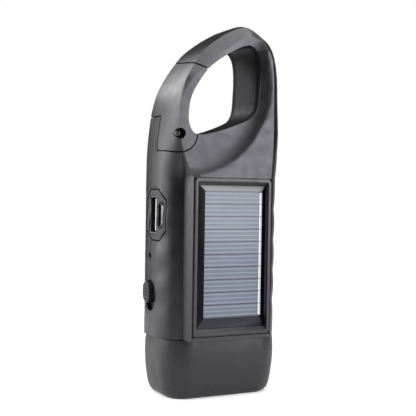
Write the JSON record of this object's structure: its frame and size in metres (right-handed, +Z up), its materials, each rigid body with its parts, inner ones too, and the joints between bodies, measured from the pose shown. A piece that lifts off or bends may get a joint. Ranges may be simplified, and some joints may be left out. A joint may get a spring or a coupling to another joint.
{
  "type": "hand crank flashlight",
  "caption": "Upright hand flashlight with a sprung carabiner handle, solar panel, side ports and slide switch, fold-away crank with gears and generator behind, and a lamp head below.",
  "frame": {"origin": "under the middle of the whole part, on the plane that the lamp head stands on", "axes": "+Z up from the lamp head to the carabiner handle, the solar panel faces -Y, the ports and the switch face -X, the crank faces +Y"},
  "size_m": [0.0476, 0.032, 0.1311],
  "materials": {
    "shell": "satin black moulded plastic",
    "trim": "satin dark grey plastic",
    "cap": "fine-grained matte dark plastic",
    "solar": "pale blue-grey cells under clear resin",
    "steel": "plain steel",
    "brass": "turned brass",
    "copper": "enamelled copper winding",
    "circuit": "green circuit board",
    "battery_wrap": "silver cell pouch",
    "inner_plastic": "natural white plastic",
    "indicator": "dark smoked light guide",
    "lens": "clear moulded lens",
    "mirror_finish": "metallised reflector",
    "led_body": "clear epoxy lamp"
  },
  "bodies": {
    "housing": {"front_shell": "shell", "rear_shell": "shell", "solar_frame": "shell", "solar_panel": "solar", "port_plate": "shell", "usb_a_socket": "steel", "usb_c_socket": "steel", "main_board": "circuit", "battery": "battery_wrap", "switch_body": "steel", "indicator_lens": "indicator", "indicator_led": "inner_plastic", "gate_pin": "steel", "gate_spring": "steel", "gear_plate": "steel", "disc_retainer": "inner_plastic", "middle_axle": "steel", "stator_core": "steel", "stator_coil": "copper", "head_cap": "cap", "lens": "lens", "reflector": "mirror_finish", "led_board": "circuit", "led_left": "led_body", "led_middle": "led_body", "led_right": "led_body", "screw_lower_left": "steel", "screw_lower_right": "steel", "screw_upper_left": "steel", "screw_upper_right": "steel", "screw_handle": "steel"},
    "crank": {"crank_disc": "shell", "crank_gear": "inner_plastic", "hinge_pin": "steel"},
    "arm": {"crank_arm": "shell", "knob_post": "steel"},
    "knob": {"crank_knob": "trim"},
    "middle": {"middle_gear": "inner_plastic"},
    "rotor": {"generator_rotor": "steel", "rotor_pinion": "brass"},
    "gate": {"carabiner_gate": "shell"},
    "switch": {"switch_slider": "trim"}
  },
  "joints": [
    {"name": "crank_spin", "type": "hinge", "parent": "housing", "child": "crank", "pos_m": [0.0008, 0, 0.046], "axis": [0, 1, 0], "continuous": true},
    {"name": "middle_spin", "type": "hinge", "parent": "housing", "child": "middle", "pos_m": [-0.00053, 0, 0.06395], "axis": [0, 1, 0], "continuous": true},
    {"name": "rotor_spin", "type": "hinge", "parent": "housing", "child": "rotor", "pos_m": [0.0088, 0, 0.0715], "axis": [0, 1, 0], "continuous": true},
    {"name": "arm_fold", "type": "hinge", "parent": "crank", "child": "arm", "pos_m": [0.0008, 0.0144, 0.0602], "axis": [1, 0, 0], "range_deg": [0, 180]},
    {"name": "knob_spin", "type": "hinge", "parent": "arm", "child": "knob", "pos_m": [0.0008, 0.005, 0.0368], "axis": [0, 1, 0], "continuous": true},
    {"name": "gate_pivot", "type": "hinge", "parent": "housing", "child": "gate", "pos_m": [-0.0189, 0, 0.0914], "axis": [0, 1, 0], "range_deg": [0, 45], "stiffness_Nm_per_rad": 0.02, "springref_deg": -20.05},
    {"name": "switch_slide", "type": "slide", "parent": "housing", "child": "switch", "axis": [0, 0, -1], "range_m": [0, 0.0024]}
  ],
  "couplings": [
    {"joint": "middle_spin", "follows": "crank_spin", "ratio": -4},
    {"joint": "rotor_spin", "follows": "crank_spin", "ratio": 12}
  ]
}
